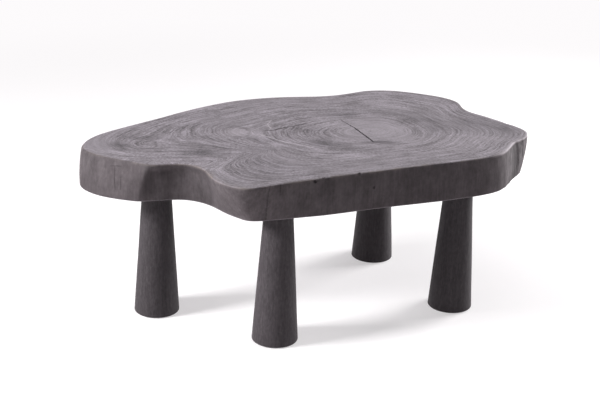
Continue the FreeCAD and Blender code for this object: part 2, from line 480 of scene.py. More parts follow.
def closed_rows(name, rows, bottom, top):
    """Closed mesh from rows of points that go round, with a fan to a middle point at each end."""
    columns = len(rows[0])
    points = np.vstack(rows + [np.array([bottom, top])])
    low_middle = len(points) - 2
    high_middle = len(points) - 1
    last = (len(rows) - 1) * columns
    faces = []
    for column in range(columns):
        after = (column + 1) % columns
        for low in range(0, last, columns):
            high = low + columns
            faces.append((low + column, low + after, high + after, high + column))
        faces.append((after, column, low_middle))
        faces.append((last + column, last + after, high_middle))
    return new_piece(name, points, faces)


def turned(name, axis, profile, columns):
    """Closed mesh turned about an upright axis from (radius, height) points, which end on the axis."""
    angles = np.arange(columns) * 2 * math.pi / columns
    ring = np.stack([np.cos(angles), np.sin(angles)], axis=1)
    rows = []
    for radius, height in profile[1:-1]:
        rows.append(np.column_stack([axis + ring * radius, np.full(columns, height)]))
    ends = [(axis[0], axis[1], height) for _, height in (profile[0], profile[-1])]
    return closed_rows(name, rows, *ends)


def finish_shading(piece, sharp_degrees):
    piece.data.shade_smooth()
    piece.data.set_sharp_from_angle(angle=math.radians(sharp_degrees))


def cut(piece, cutters):
    """Takes the cutters out of a piece and deletes them."""
    for cutter in cutters:
        modifier = piece.modifiers.new("cut", "BOOLEAN")
        modifier.operation = "DIFFERENCE"
        modifier.solver = "MANIFOLD"
        modifier.object = cutter
    graph = bpy.context.evaluated_depsgraph_get()
    whole = piece.data
    piece.data = bpy.data.meshes.new_from_object(piece.evaluated_get(graph))
    piece.data.materials.clear()
    piece.modifiers.clear()
    bpy.data.meshes.remove(whole)
    for cutter in cutters:
        bpy.data.objects.remove(cutter)


# Slab


class TrunkEdge:
    """The slab's side as the solid has it: its distance from the heart, by column and height."""

    def __init__(self, solid):
        mesh = solid.data
        self.tree = BVHTree.FromPolygons([v.co for v in mesh.vertices], [p.vertices for p in mesh.polygons])
        low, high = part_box("slab_top")
        self.low = low.z
        self.high = high.z
        self.middle = (low.z + high.z) / 2
        self.angles = self.even_angles()
        self.directions = np.stack([np.cos(self.angles), np.sin(self.angles)], axis=1)
        self.levels = np.linspace(self.low + LEVEL_MARGIN, self.high - LEVEL_MARGIN, EDGE_LEVELS)
        reach = [[self.reach(angle, level) for level in self.levels] for angle in self.angles]
        self.radii = smooth_round(np.array(reach), EDGE_SMOOTHING)
        self.base = self.plan(np.full(COLUMNS, self.middle))
        along = np.roll(self.base, -1, axis=0) - np.roll(self.base, 1, axis=0)
        self.outward = unit(smooth_round(np.stack([along[:, 1], -along[:, 0]], axis=1), EDGE_SMOOTHING))

    def reach(self, angle, height):
        """Distance from the heart to the side, found from outside."""
        out = Vector((math.cos(angle), math.sin(angle), 0))
        start = Vector((HEART[0], HEART[1], height)) + out * FAR
        return FAR - self.tree.ray_cast(start, -out)[3]

    def even_angles(self):
        """Angles at which the columns are evenly spaced along the edge."""
        trials = np.linspace(0, 2 * math.pi, EDGE_TRIALS + 1)
        radii = np.array([self.reach(angle, self.middle) for angle in trials])
        points = radii[:, None] * np.stack([np.cos(trials), np.sin(trials)], axis=1)
        along = np.concatenate([[0], np.cumsum(np.linalg.norm(np.diff(points, axis=0), axis=1))])
        return np.interp(np.arange(COLUMNS) * along[-1] / COLUMNS, along, trials)

    def plan(self, heights):
        """Plan points of the side at a height for each column."""
        radii = [np.interp(height, self.levels, column) for height, column in zip(heights, self.radii)]
        return HEART + self.directions * np.array(radii)[:, None]

    def rim_radius(self, angles):
        """Distance from the heart to the top rim at any angle."""
        return np.interp(angles, self.angles, self.radii[:, -1], period=2 * math.pi)

    def ring_radius(self, angles, smoothing):
        """Distance from the heart to the rim, evened out over a number of small turns."""
        turns = np.arange(RING_TRIALS) * 2 * math.pi / RING_TRIALS
        return np.interp(angles, turns, smooth_round(self.rim_radius(turns), smoothing), period=2 * math.pi)

    def front(self, x, height):
        """Point of the side that faces the front at x, and the way it faces."""
        level = min(max(height, self.levels[0]), self.levels[-1])
        place, facing, _, _ = self.tree.ray_cast(Vector((x, -FAR, level)), Vector((0, 1, 0)))
        return np.array([x, place.y, height]), unit(np.array([facing.x, facing.y, 0]))


def side_relief(edge, heights):
    """How far the side lies in from the solid's: swells, and upright flutes, deepest at the right end."""
    place = np.column_stack([edge.base, heights])
    upright = np.column_stack([edge.base, heights * FLUTE_RISE])
    coarse = noise01(upright, COARSE_FLUTE_SIZE, seed=3.1)
    fine = noise01(upright, FINE_FLUTE_SIZE, seed=7.7)
    lumps = noise01(place, FLUTE_LUMP_SIZE, seed=9.3)
    flutes = FLUTE_MIX[0] * coarse + FLUTE_MIX[1] * fine + FLUTE_MIX[2] * lumps
    depth = FLUTE + (FLUTE_END - FLUTE) * smoothstep(*FLUTED_END, edge.base[:, 0])
    return SWELL * noise01(place, SWELL_SIZE) + depth * flutes + bay_hollow(edge, heights)


def bay_hollow(edge, heights):
    """How deep the bay is hollowed under its rim: steep at its left end, easing off to the right."""
    up = (heights - edge.low) / (edge.high - edge.low)
    x = edge.base[:, 0] - BAY_LEAN * (up - 0.5)
    along = smoothstep(BAY_LEFT, BAY_DEEPEST, x) * smoothstep(BAY_RIGHT, BAY_DEEPEST, x)
    rise = BAY_FOOT_SHARE + (1 - BAY_FOOT_SHARE) * smoothstep(0, BAY_FULL[0], up)
    across = rise * smoothstep(BAY_END, BAY_FULL[1], up)
    return BAY_DEPTH * along * across * (edge.base[:, 1] < 0)


def slab_rows(edge):
    """Rows of points from the middle of the underside, round the side, to the middle of the top."""
    flat_base = np.column_stack([edge.base, np.zeros(COLUMNS)])
    upper = UPPER_RIM * (1 + RIM_VARIATION * perlin(flat_base, UPPER_RIM_WAVE, seed=11.0))
    upper += SOFT_RIM * smoothstep(*SOFT_RIM_X, edge.base[:, 0])
    lower = LOWER_RIM * (1 + RIM_VARIATION * perlin(flat_base, LOWER_RIM_WAVE, seed=17.0))

    def ring(heights, inset):
        inset = inset + side_relief(edge, heights)
        return np.column_stack([edge.plan(heights) - edge.outward * inset[:, None], heights])

    def loop(rim, share):
        flat = rim.copy()
        flat[:, :2] = HEART + (rim[:, :2] - HEART) * share
        return flat

    low_rim = ring(np.full(COLUMNS, edge.low), lower)
    rows = [loop(low_rim, share) for share in np.linspace(0, 1, UNDERSIDE_LOOPS + 1)[1:]]
    for turn in np.linspace(0, math.pi / 2, LOWER_RIM_ROWS + 1)[1:]:
        rows.append(ring(edge.low + lower * (1 - math.cos(turn)), lower * (1 - math.sin(turn))))
    side_low = edge.low + lower
    side_high = edge.high - upper
    for share in np.linspace(0, 1, SIDE_ROWS + 1)[1:]:
        rows.append(ring(side_low + (side_high - side_low) * share, np.zeros(COLUMNS)))
    for turn in np.linspace(0, math.pi / 2, UPPER_RIM_ROWS + 1)[1:]:
        rows.append(ring(edge.high - upper * (1 - math.sin(turn)), upper * (1 - math.cos(turn))))
    high_rim = rows[-1]
    for share in np.linspace(1, 0, TOP_LOOPS + 1)[1:-1]:
        row = loop(high_rim, share)
        row[:, 2] -= TOP_UNEVENNESS * noise01(row, TOP_WAVE, seed=23.0) * smoothstep(1, TOP_EVEN_FROM, share)
        rows.append(row)
    return rows


def crack_line(points, seed):
    """Points every few millimetres along a drawn line, wandering a little from it between its ends."""
    points = np.array(points)
    along = np.concatenate([[0], np.cumsum(np.linalg.norm(np.diff(points[:, :2], axis=0), axis=1))])
    steps = np.linspace(0, along[-1], max(int(along[-1] / CRACK_STEP), 3))
    line = np.column_stack([np.interp(steps, along, column) for column in points.T])
    held = np.sin(math.pi * steps / along[-1])
    at = np.column_stack([steps, np.zeros((len(steps), 2))])
    line[:, 0] += CRACK_WANDER * held * perlin(at, CRACK_WANDER_SIZE, seed)
    line[:, 1] += CRACK_WANDER * held * perlin(at, CRACK_WANDER_SIZE, seed + 5)
    line[:, 2] *= 1 + CRACK_WIDTH_CHANGE * perlin(at, CRACK_WIDTH_SIZE, seed + 9)
    return line


def wedge(points, outward, widths, depth):
    """V-shaped cutter along a line on the surface; gives it and the points of its keel."""
    across = unit(np.cross(np.gradient(points, axis=0), outward))
    spread = (widths / 2 * (1 + CUT_LIFT / depth))[:, None] * across
    depths = depth * (CRACK_END_SHARE + (1 - CRACK_END_SHARE) * widths / widths.max())
    keel = points - outward * depths[:, None]
    brink = points + outward * CUT_LIFT
    corners = np.stack([brink + spread, keel, brink - spread], axis=1).reshape(-1, 3)
    faces = [(0, 1, 2), (len(corners) - 1, len(corners) - 2, len(corners) - 3)]
    for first in range(0, len(corners) - 3, 3):
        for here, there in ((0, 1), (1, 2), (2, 0)):
            faces.append((first + here, first + there, first + 3 + there, first + 3 + here))
    return new_piece("wedge", corners, faces), keel


def top_wedge(edge, points, depth, seed):
    """Cutter and keel of a crack that is drawn on the top."""
    line = crack_line(points, seed)
    places = np.column_stack([line[:, :2], np.full(len(line), edge.high)])
    outward = np.tile([0.0, 0.0, 1.0], (len(line), 1))
    return wedge(places, outward, line[:, 2], depth)


def side_wedge(edge, points, seed):
    """Cutter and keel of a crack that is drawn on the front of the side."""
    line = crack_line(points, seed)
    found = [edge.front(x, height) for x, height, _ in line]
    places = np.array([place for place, _ in found])
    outward = np.array([facing for _, facing in found])
    return wedge(places, outward, line[:, 2], SIDE_CRACK_DEPTH)


def lump(edge, x, height, radii, seed):
    """Rough pebble at the front of the side, for a chip."""
    place, facing = edge.front(x, height)
    along = np.array([-facing[1], facing[0], 0])
    pebble = bmesh.new()
    bmesh.ops.create_icosphere(pebble, subdivisions=CHIP_SUBDIVISIONS, radius=1)
    ball = np.array([v.co for v in pebble.verts])
    faces = [tuple(v.index for v in face.verts) for face in pebble.faces]
    pebble.free()
    ball *= (1 + CHIP_ROUGHNESS * perlin(ball, CHIP_ROUGH_SIZE, seed))[:, None] * np.array(radii)
    points = place + ball[:, :1] * along + ball[:, 1:2] * facing + ball[:, 2:] * np.array([0, 0, 1])
    return new_piece("lump", points, faces)


def insert_seat(side):
    """Stepped hole under the slab for an insert, its flush flange and the bolt's end."""
    node = side + "_insert"
    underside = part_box(node)[0].z
    profile = [
        (0, underside - CUT_LIFT),
        (INSERT_SEAT_RADIUS, underside - CUT_LIFT),
        (INSERT_SEAT_RADIUS, underside + INSERT_SEAT_DEPTH),
        (INSERT_HOLE_RADIUS, underside + INSERT_SEAT_DEPTH),
        (INSERT_HOLE_RADIUS, underside + INSERT_HOLE_DEPTH),
        (0, underside + INSERT_HOLE_DEPTH),
    ]
    return turned("seat", upright_axis(node), profile, SEAT_COLUMNS)


def cut_marks(slab, edge):
    """Cuts checks, cracks, scratches, chips and insert seats; gives the keels of all but chips and seats."""
    check = [top_wedge(edge, TOP_CHECK, TOP_CHECK_DEPTH, TOP_CHECK_SEED)]
    hairs = [top_wedge(edge, line, HAIR_DEPTH, HAIR_SEED + i) for i, line in enumerate(HAIR_CHECKS)]
    cracks = [side_wedge(edge, line, SIDE_CRACK_SEED + i) for i, line in enumerate(SIDE_CRACKS)]
    scratches = [top_wedge(edge, line, SCRATCH_DEPTH, SCRATCH_SEED + i) for i, line in enumerate(SCRATCHES)]
    chips = [lump(edge, *chip, RIM_CHIP_SEED + i) for i, chip in enumerate(RIM_CHIPS)]
    seats = [insert_seat(side) for side in LEGS]
    cut(slab, [cutter for cutter, _ in check + hairs + cracks + scratches] + chips + seats)
    return [np.vstack([keel for _, keel in cuts]) for cuts in (check, hairs, cracks, scratches)]


def bell(points, middle, reach):
    """Soft spot in the plan: 1 at its middle, fading over its reach."""
    return np.exp(-0.5 * np.sum(((points[:, :2] - middle) / reach) ** 2, axis=1))


def spots(points, rows):
    """Sum of soft spots, each with its middle, reach and height."""
    return sum(height * bell(points, middle, reach) for middle, reach, height in rows)


def ring_notch(age, angle):
    """Share by which a ring folds in towards the heart: steeply at the front, easing off to the left."""
    turn = (angle - NOTCH_ANGLE + math.pi) % (2 * math.pi) - math.pi
    fold = np.where(turn > 0, np.exp(-((turn / NOTCH_FRONT) ** 2)), np.exp(-np.abs(turn / NOTCH_LEFT)))
    young, ripe, old, gone = NOTCH_AGES
    return NOTCH_DEPTH * fold * smoothstep(young, ripe, age) * smoothstep(gone, old, age)


def ring_age(edge, points):
    """Age of the wood at each plan point: 0 at the heart, about 1 at the rim."""
    flat = np.column_stack([points[:, :2], np.zeros(len(points))])
    place = points[:, :2].copy()
    for axis, seed in ((0, 31.0), (1, 41.0)):
        wobble = perlin(flat, RING_WOBBLE_SIZE, seed)
        wobble += FINE_WOBBLE_SHARE * perlin(flat, FINE_WOBBLE_SIZE, seed + 6)
        place[:, axis] += RING_WOBBLE * wobble
    for middle, reach, shift in RING_BENDS:
        place += bell(points, middle, reach)[:, None] * np.array(shift)
    spoke = place - HEART
    angle = np.arctan2(spoke[:, 1], spoke[:, 0])
    length = np.linalg.norm(spoke, axis=1)
    inner = edge.ring_radius(angle, INNER_SMOOTHING)
    outer = edge.ring_radius(angle, OUTER_SMOOTHING)
    age = length / (inner + (outer - inner) * smoothstep(*RING_SHAPING, length / outer))
    return age / (1 - ring_notch(age, angle)) + spots(points, RING_EYES)


def near(points, targets, reach):
    """1 at points that lie on a target point, 0 beyond the reach."""
    tree = KDTree(len(targets))
    for index, target in enumerate(targets):
        tree.insert(target, index)
    tree.balance()
    return smoothstep(reach, 0, np.array([tree.find(point)[2] for point in points.tolist()]))


def mark_slab(slab, edge, check, hairs, cracks, scratches):
    """Stores what the slab's finish needs at each point of its mesh."""
    points = vertex_points(slab.data)
    spoke = points[:, :2] - HEART
    from_heart = np.linalg.norm(spoke, axis=1)
    from_rim = edge.rim_radius(np.arctan2(spoke[:, 1], spoke[:, 0])) - from_heart
    depth = edge.high - points[:, 2]
    on_top = smoothstep(*TOP_FADE, depth)
    on_underside = smoothstep(*UNDERSIDE_FADE, points[:, 2] - edge.low)
    rim = smoothstep(*RIM_FADE_DOWN, depth) * smoothstep(*RIM_FADE_IN, from_rim)
    # Painted highlight on the rim at the right end
    painted_highlight_rim = rim * smoothstep(*HIGHLIGHT_RIM_X, points[:, 0])
    fluted = smoothstep(*FLUTED_END, points[:, 0])
    # Painted shade in the checks and cracks, darkest at their keels
    crack_shade = near(points, check, TOP_CHECK_SHADE)
    crack_shade += HAIR_DARKNESS * near(points, hairs, HAIR_SHADE)
    crack_shade += SIDE_CRACK_DARKNESS * near(points, cracks, SIDE_CRACK_SHADE)
    marks = {
        "age": ring_age(edge, points),
        "end_grain": np.maximum(on_top, on_underside),
        "rim": rim,
        # Tone of the top's patches; stain and painted shade on the side
        "patch_and_shade": spots(points, TOP_PATCHES) * on_top + spots(points, SIDE_STAINS_AND_SHADE) * (1 - on_top),
        "contrast": 1 + spots(points, FIGURE_CONTRAST),
        "bark": np.maximum(fluted, spots(points, BARK_REMAINS)),
        "heartwood": smoothstep(*HEARTWOOD_FADE, from_heart),
        "crack_shade": crack_shade,
        "bare_and_highlight": np.maximum(near(points, scratches, SCRATCH_REACH), painted_highlight_rim),
    }
    for name, values in marks.items():
        store(slab.data, name, values)


def build_slab():
    edge = TrunkEdge(NODES["slab_top"])
    slab = closed_rows("slab", slab_rows(edge), (*HEART, edge.low), (*HEART, edge.high))
    mark_slab(slab, edge, *cut_marks(slab, edge))
    finish_shading(slab, SLAB_SHARP_DEGREES)
    slab.data.materials.append(slab_wood())
    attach(slab, "root")
    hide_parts("slab_top")


# Legs and fittings


def leg_profile(side):
    """Leg from its pad's recess, round the eased foot and up the cone, to the bottom of its pilot hole."""
    low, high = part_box(side + "_leg")
    pad_low, pad_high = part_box(side + "_pad")
    bolt_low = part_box(side + "_bolt")[0]
    foot = (high.x - low.x) / 2
    recess = (pad_high.x - pad_low.x) / 2 + PAD_CLEARANCE
    lean = (foot - LEG_TOP_RADIUS) / (high.z - low.z)
    profile = [(0, low.z + PAD_RECESS), (recess, low.z + PAD_RECESS), (recess, low.z)]
    for turn in np.linspace(0, math.pi / 2, FOOT_EASE_ROWS + 1):
        height = FOOT_EASE * (1 - math.cos(turn))
        profile.append((foot - FOOT_EASE * (1 - math.sin(turn)) - lean * height, low.z + height))
    wall_low = low.z + FOOT_EASE
    wall_high = high.z - LEG_SHOULDER
    for height in np.linspace(wall_low, wall_high, LEG_ROWS + 1)[1:]:
        profile.append((foot - lean * (height - low.z), height))
    profile.append((LEG_TOP_RADIUS - LEG_SHOULDER, high.z))
    pilot_end = bolt_low.z - PILOT_ROOM
    profile += [(PILOT_RADIUS, high.z), (PILOT_RADIUS, pilot_end), (0, pilot_end)]
    return profile


def roughen_leg(leg, axis, seed):
    """Lets the cone's wall run a little uneven, with fine upright grooves along the grain."""
    points = vertex_points(leg.data)
    radius, outward = about_axis(points, axis)
    rise = points[:, 2] - points[:, 2].min()
    wall = smoothstep(*LEG_RELIEF_RADII, radius) * smoothstep(*LEG_RELIEF_RISE, rise)
    uneven = LEG_UNEVENNESS * noise01(points, LEG_UNEVEN_SIZE, seed)
    groove = LEG_GROOVE * noise01(points, LEG_GROOVE_SIZE, seed + 3)
    inward = wall * (uneven + groove)
    points[:, :2] -= outward * inward[:, None]
    move_points(leg.data, points)


def build_leg(side, seed, finish):
    axis = upright_axis(side + "_leg")
    leg = turned(side + "_cone", axis, leg_profile(side), LEG_COLUMNS)
    roughen_leg(leg, axis, seed)
    # Painted light and shade: scales the leg's colour by how much light falls on it
    store(leg.data, "tone_and_light", np.full(len(leg.data.vertices), LEG_PAINTED_LIGHT[side]))
    finish_shading(leg, TURNED_SHARP_DEGREES)
    leg.data.materials.append(finish)
    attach(leg, "root")
    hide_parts(side + "_leg")


def pad_profile(low, high, radius):
    """Pad from its underside, round the soft lower edge and up the cut wall, to the face under the foot."""
    flat = radius - PAD_EDGE
    profile = [(0, low)]
    for share in np.linspace(0, 1, PAD_FLAT_ROWS + 1)[1:]:
        profile.append((flat * share, low))
    for turn in np.linspace(0, math.pi / 2, PAD_EDGE_ROWS + 1)[1:]:
        profile.append((flat + PAD_EDGE * math.sin(turn), low + PAD_EDGE * (1 - math.cos(turn))))
    return profile + [(radius, high), (0, high)]


def roughen_pad(pad, axis, radius, seed):
    """Lets the cut edge run uneven and the underside dimple, inside the solid."""
    points = vertex_points(pad.data)
    length, outward = about_axis(points, axis)
    edge = smoothstep(radius - 2 * PAD_EDGE, radius, length)
    inward = PAD_UNEVENNESS * edge * noise01(points, PAD_UNEVEN_SIZE, seed)
    underside = points[:, 2] == points[:, 2].min()
    dimpled = underside * smoothstep(*PAD_DIMPLED, radius - length)
    points[:, 2] += PAD_DIMPLE * dimpled * noise01(points, PAD_DIMPLE_SIZE, seed + 3)
    points[:, :2] -= outward * inward[:, None]
    move_points(pad.data, points)


def build_pad(side, seed, finish):
    low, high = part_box(side + "_pad")
    axis = upright_axis(side + "_pad")
    radius = (high.x - low.x) / 2
    pad = turned(side + "_felt", axis, pad_profile(low.z, high.z, radius), PAD_COLUMNS)
    roughen_pad(pad, axis, radius, seed)
    finish_shading(pad, TURNED_SHARP_DEGREES)
    pad.data.materials.append(finish)
    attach(pad, "root")
    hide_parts(side + "_pad")


def refinish(node, finish):
    """Gives a solid that stays as it is a better finish."""
    solid = NODES[node]
    solid.data.materials.clear()
    solid.data.materials.append(finish)


# Materials


def add(tree, kind, values=None, **settings):
    """New node with its settings; a value that is a socket is linked, any other is set."""
    made = tree.nodes.new(kind)
    for name, value in settings.items():
        setattr(made, name, value)
    for name, value in (values or {}).items():
        socket = made.inputs[name]
        if isinstance(value, bpy.types.NodeSocket):
            tree.links.new(value, socket)
        else:
            socket.default_value = value
    return made


def maths(tree, operation, *values):
    return add(tree, "ShaderNodeMath", dict(enumerate(values)), operation=operation).outputs[0]


def weighted(tree, *parts):
    """Sum of (value, weight) pairs."""
    total = maths(tree, "MULTIPLY", *parts[0])
    for value, weight in parts[1:]:
        total = maths(tree, "MULTIPLY_ADD", value, weight, total)
    return total


def mixed(tree, share, first, second, blend="MIX"):
    made = add(tree, "ShaderNodeMix", {0: share, 6: first, 7: second}, data_type="RGBA", blend_type=blend)
    return made.outputs[2]


def graded(tree, share, stops):
    """Colour ramp from (position, grey or colour) stops."""
    ramp = add(tree, "ShaderNodeValToRGB", {"Fac": share})
    points = ramp.color_ramp.elements
    while len(points) < len(stops):
        points.new(0.5)
    for point, (position, colour) in zip(points, stops):
        point.position = position
        point.color = (*colour, 1) if isinstance(colour, tuple) else (colour, colour, colour, 1)
    return ramp.outputs["Color"]


def noise_at(tree, vector, detail=3.0, roughness=0.55):
    values = {"Vector": vector, "Scale": 1.0, "Detail": detail, "Roughness": roughness}
    return add(tree, "ShaderNodeTexNoise", values).outputs["Fac"]


def grain(tree, place, scale, detail=3.0, roughness=0.55):
    """Noise with a scale for each axis, or one for all three."""
    scales = scale if isinstance(scale, tuple) else (scale, scale, scale)
    vector = add(tree, "ShaderNodeMapping", {"Vector": place, "Scale": scales}).outputs["Vector"]
    return noise_at(tree, vector, detail, roughness)


def blank_material(name):
    """Material with one plain shader; gives it, its node tree and that shader."""
    material = bpy.data.materials.new(name)
    material.use_nodes = True
    return material, material.node_tree, material.node_tree.nodes["Principled BSDF"]


def mark(tree, name):
    """Value that is stored at the points of the mesh."""
    return add(tree, "ShaderNodeAttribute", attribute_name=name).outputs["Fac"]


def ring_streaks(tree, age, place, across, along, detail, seed):
    """Streaks that follow the growth rings: fine across them, long along them."""
    axes = add(tree, "ShaderNodeSeparateXYZ", {"Vector": place})
    ring = maths(tree, "MULTIPLY_ADD", age, across, seed)
    x = maths(tree, "MULTIPLY", axes.outputs["X"], along)
    y = maths(tree, "MULTIPLY", axes.outputs["Y"], along)
    vector = add(tree, "ShaderNodeCombineXYZ", {"X": ring, "Y": x, "Z": y})
    return noise_at(tree, vector.outputs["Vector"], detail, STREAK_ROUGHNESS)


def eye_level(tree, place, drift, middle, reach):
    """Distance from the middle of an eye with a drifting outline: 0.5 on it."""
    scale = (0.5 / reach[0], 0.5 / reach[1], 0)
    shift = (-middle[0] * scale[0], -middle[1] * scale[1], 0)
    spoke = add(tree, "ShaderNodeMapping", {"Vector": place, "Location": shift, "Scale": scale})
    away = add(tree, "ShaderNodeVectorMath", {0: spoke.outputs["Vector"]}, operation="LENGTH")
    swing = maths(tree, "SUBTRACT", drift, 0.5)
    return maths(tree, "MULTIPLY_ADD", swing, EYE_DRIFT, away.outputs["Value"])


def eye_outlines(tree, place):
    """1 on the drifting outlines of the eyes, 0 elsewhere."""
    drift = grain(tree, place, 20, 2)
    outline = 0.0
    for middle, reach in EYE_OUTLINES:
        level = eye_level(tree, place, drift, middle, reach)
        brink = graded(tree, level, [(0.40, 0.0), (0.48, 1.0), (0.52, 1.0), (0.64, 0.0)])
        outline = maths(tree, "MAXIMUM", brink, outline)
    return outline


def top_figure(tree, place):
    """End grain: colour and relief of the growth rings."""
    wander = grain(tree, place, 36, 4, 0.65)
    age = maths(tree, "MULTIPLY_ADD", wander, RING_WANDER, mark(tree, "age"))
    parts = {name: ring_streaks(tree, age, place, *row) for name, row in RING_STREAKS.items()}
    parts["smudges"] = grain(tree, place, 24, 4, 0.6)
    parts["pores"] = grain(tree, place, 180, 3, 0.65)

    # Figure about its middle value, calmer at the heart and in quiet places
    figure = weighted(tree, *[(parts[name], weight) for name, weight in FIGURE_WEIGHTS.items()])
    figure = maths(tree, "SUBTRACT", figure, sum(FIGURE_WEIGHTS.values()) / 2)
    calm = maths(tree, "MULTIPLY", mark(tree, "heartwood"), HEARTWOOD_CALM)
    shown = maths(tree, "MULTIPLY", mark(tree, "contrast"), maths(tree, "SUBTRACT", 1.0, calm))
    busy = graded(tree, grain(tree, place, 9, 2), [(0.38, 0.55), (0.62, 1.0)])
    strength = maths(tree, "MULTIPLY", maths(tree, "MULTIPLY", shown, busy), FIGURE_STRENGTH)
    # End grain colour, paler partly as painted light from above and painted sheen
    colour = graded(tree, maths(tree, "MULTIPLY_ADD", figure, strength, 0.5), TOP_COLOURS_WITH_LIGHT)

    # Dark seams between rings, and the outlines of the eyes, both broken by the smudges
    seam = graded(tree, parts["seams"], [(0.475, 0.0), (0.495, 1.0), (0.505, 1.0), (0.525, 0.0)])
    hair = graded(tree, parts["checks"], [(0.47, 0.0), (0.495, 0.7), (0.505, 0.7), (0.53, 0.0)])
    line = maths(tree, "MULTIPLY", maths(tree, "MAXIMUM", seam, hair), shown)
    line = maths(tree, "MAXIMUM", line, eye_outlines(tree, place))
    line = maths(tree, "MULTIPLY", line, graded(tree, parts["smudges"], [(0.40, 1.0), (0.62, 0.15)]))
    colour = mixed(tree, maths(tree, "MULTIPLY", line, SEAM_DARKNESS), colour, SEAM_COLOUR)
    relief = weighted(tree, (parts["fine"], 0.6), (parts["bands"], 0.4), (line, -0.25))
    return colour, relief


def side_figure(tree, place):
    """Trunk's side: upright fibres under blotchy stain, broken like bark where it is fluted."""
    fibres = grain(tree, place, (240, 240, 14), 4, 0.6)
    strands = grain(tree, place, (60, 60, 7), 3)
    blotches = grain(tree, place, (26, 26, 20), 4, 0.6)
    grit = grain(tree, place, (170, 170, 110), 3, 0.6)
    flakes = grain(tree, place, (120, 120, 42), 5, 0.7)
    bark = mark(tree, "bark")
    value = weighted(tree, (fibres, 0.20), (strands, 0.20), (blotches, 0.40), (grit, 0.20))
    colour = graded(tree, value, SIDE_COLOURS)
    broken = graded(tree, flakes, [(0.38, 0.45), (0.52, 1.0), (0.66, 1.30)])
    colour = mixed(tree, bark, colour, mixed(tree, 1.0, colour, broken, "MULTIPLY"))
    flaking = maths(tree, "MULTIPLY", flakes, bark)
    relief = weighted(tree, (fibres, 0.4), (strands, 0.3), (flaking, 0.9))
    return colour, relief, blotches


def slab_wood():
    """Charcoal stain over end grain with growth rings, and over the fibres of the trunk's side."""
    material, tree, shader = blank_material("slab_wood")
    place = add(tree, "ShaderNodeTexCoord").outputs["Object"]
    top_colour, top_relief = top_figure(tree, place)
    side_colour, side_relief_value, blotches = side_figure(tree, place)
    end_grain = mark(tree, "end_grain")
    colour = mixed(tree, end_grain, side_colour, top_colour)
    # Patches and stain, with the painted shade in the bay
    tone_and_light = maths(tree, "ADD", mark(tree, "patch_and_shade"), 1.0)
    colour = mixed(tree, 1.0, colour, tone_and_light, "MULTIPLY")
    worn = maths(tree, "MULTIPLY", mark(tree, "rim"), graded(tree, blotches, [(0.40, 0.0), (0.65, 0.6)]))
    colour = mixed(tree, worn, colour, WORN_COLOUR)
    # Pale scratches, and a painted highlight on the rim at the right end
    colour = mixed(tree, mark(tree, "bare_and_highlight"), colour, BARE_AND_HIGHLIGHT_COLOUR)
    # Painted shade in the checks and cracks
    crack_shade_share = graded(tree, mark(tree, "crack_shade"), [(0.0, 0.0), (0.35, 1.0)])
    colour = mixed(tree, crack_shade_share, colour, CRACK_SHADE_COLOUR)
    relief = mixed(tree, end_grain, side_relief_value, top_relief)
    bump = add(tree, "ShaderNodeBump", {**SLAB_BUMP, "Height": relief})
    tree.links.new(colour, shader.inputs["Base Color"])
    tree.links.new(graded(tree, relief, [(0.3, 0.88), (0.7, 0.74)]), shader.inputs["Roughness"])
    tree.links.new(bump.outputs["Normal"], shader.inputs["Normal"])
    shader.inputs["Specular IOR Level"].default_value = SLAB_GLOSS
    return material


def leg_wood():
    """Black stain with fine upright grain."""
    material, tree, shader = blank_material("leg_wood")
    place = add(tree, "ShaderNodeTexCoord").outputs["Object"]
    fibres = grain(tree, place, (300, 300, 14), 4, 0.6)
    cloud = grain(tree, place, (38, 38, 12), 3)
    mottle = grain(tree, place, (230, 230, 90), 3, 0.65)
    value = weighted(tree, (fibres, 0.35), (cloud, 0.20), (mottle, 0.45))
    # Colour scaled by each leg's painted light and shade
    colour = mixed(tree, 1.0, graded(tree, value, LEG_COLOURS), mark(tree, "tone_and_light"), "MULTIPLY")
    bump = add(tree, "ShaderNodeBump", {**LEG_BUMP, "Height": fibres})
    tree.links.new(colour, shader.inputs["Base Color"])
    tree.links.new(graded(tree, value, [(0.3, 0.70), (0.7, 0.54)]), shader.inputs["Roughness"])
    tree.links.new(bump.outputs["Normal"], shader.inputs["Normal"])
    shader.inputs["Specular IOR Level"].default_value = LEG_GLOSS
    return material


def felt():
    """Dark pressed felt with loose fibres."""
    material, tree, shader = blank_material("felt")
    place = add(tree, "ShaderNodeTexCoord").outputs["Object"]
    fuzz = grain(tree, place, 1400, 4, 0.7)
    lumps = grain(tree, place, 160, 2)
    value = weighted(tree, (fuzz, 0.6), (lumps, 0.4))
    bump = add(tree, "ShaderNodeBump", {**FELT_BUMP, "Height": fuzz})
    tree.links.new(graded(tree, value, FELT_COLOURS), shader.inputs["Base Color"])
    tree.links.new(bump.outputs["Normal"], shader.inputs["Normal"])
    shader.inputs["Roughness"].default_value = FELT_ROUGHNESS
    shader.inputs["Sheen Weight"].default_value = FELT_SHEEN
    return material


def metal(name, dark, light, polished, tarnished):
    """Turned metal with faint tool rings and clouded tarnish."""
    material, tree, shader = blank_material(name)
    place = add(tree, "ShaderNodeTexCoord").outputs["Object"]
    tooling = grain(tree, place, (30, 30, 1800), 3)
    tarnish = grain(tree, place, 130, 4, 0.6)
    value = weighted(tree, (tooling, 0.4), (tarnish, 0.6))
    bump = add(tree, "ShaderNodeBump", {**METAL_BUMP, "Height": tooling})
    tree.links.new(graded(tree, value, [(0.35, dark), (0.65, light)]), shader.inputs["Base Color"])
    tree.links.new(graded(tree, value, [(0.35, tarnished), (0.65, polished)]), shader.inputs["Roughness"])
    tree.links.new(bump.outputs["Normal"], shader.inputs["Normal"])
    shader.inputs["Metallic"].default_value = 1.0
    return material


# Floor, lights and camera


